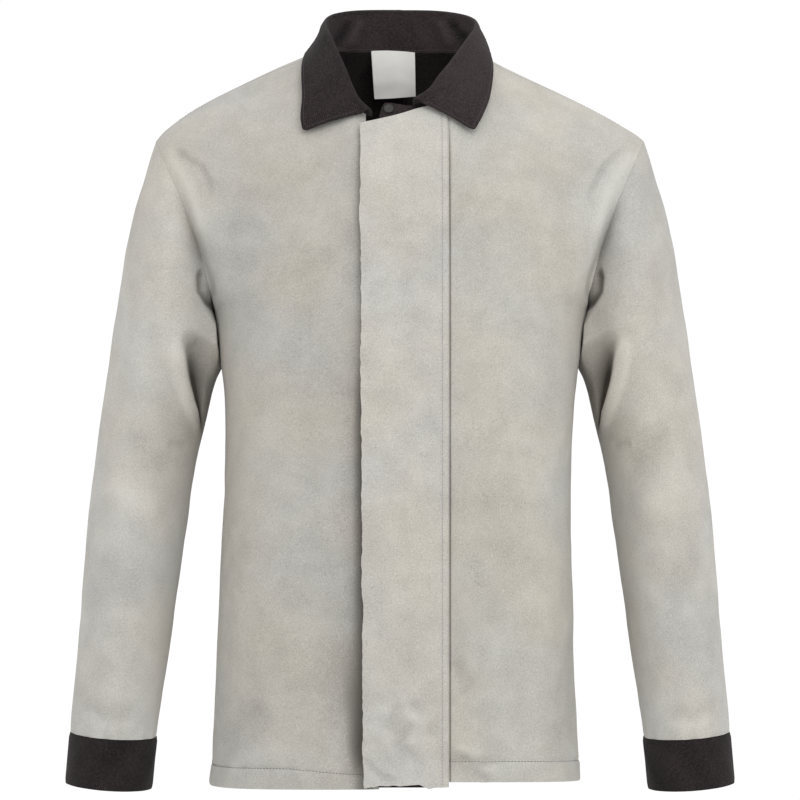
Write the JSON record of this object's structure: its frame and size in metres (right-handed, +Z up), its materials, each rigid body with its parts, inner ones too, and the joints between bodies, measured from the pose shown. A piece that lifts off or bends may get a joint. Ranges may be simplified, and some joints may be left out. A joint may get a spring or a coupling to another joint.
{
  "type": "welding jacket",
  "caption": "Welding jacket in worn shape: grey split leather fronts, flap and sleeves, dark twill back, collar and cuffs, closed with press studs.",
  "frame": {"origin": "base of the neck, midway between the neck ends of the shoulder seams, where the jacket hangs on its wearer", "axes": "+Z up along the body, -Y the way the front faces, +X to the wearer's left"},
  "size_m": [0.6626, 0.2851, 0.7858],
  "materials": {
    "split_leather": "matt suede split leather, light warm grey",
    "dark_twill": "matt charcoal-brown cotton twill",
    "label_satin": "white woven satin, bare",
    "stud_metal": "dark painted press stud, satin"
  },
  "bodies": {
    "root": {"right_front": "split_leather", "left_front": "split_leather", "storm_flap": "split_leather", "right_sleeve": "split_leather", "left_sleeve": "split_leather", "back": "dark_twill", "collar": "dark_twill", "right_cuff": "dark_twill", "left_cuff": "dark_twill", "snap_placket": "dark_twill", "underlap": "dark_twill", "neck_label": "label_satin", "press_stud_1": "stud_metal", "press_stud_2": "stud_metal", "press_stud_3": "stud_metal", "press_stud_4": "stud_metal", "press_stud_5": "stud_metal"}
  },
  "joints": []
}
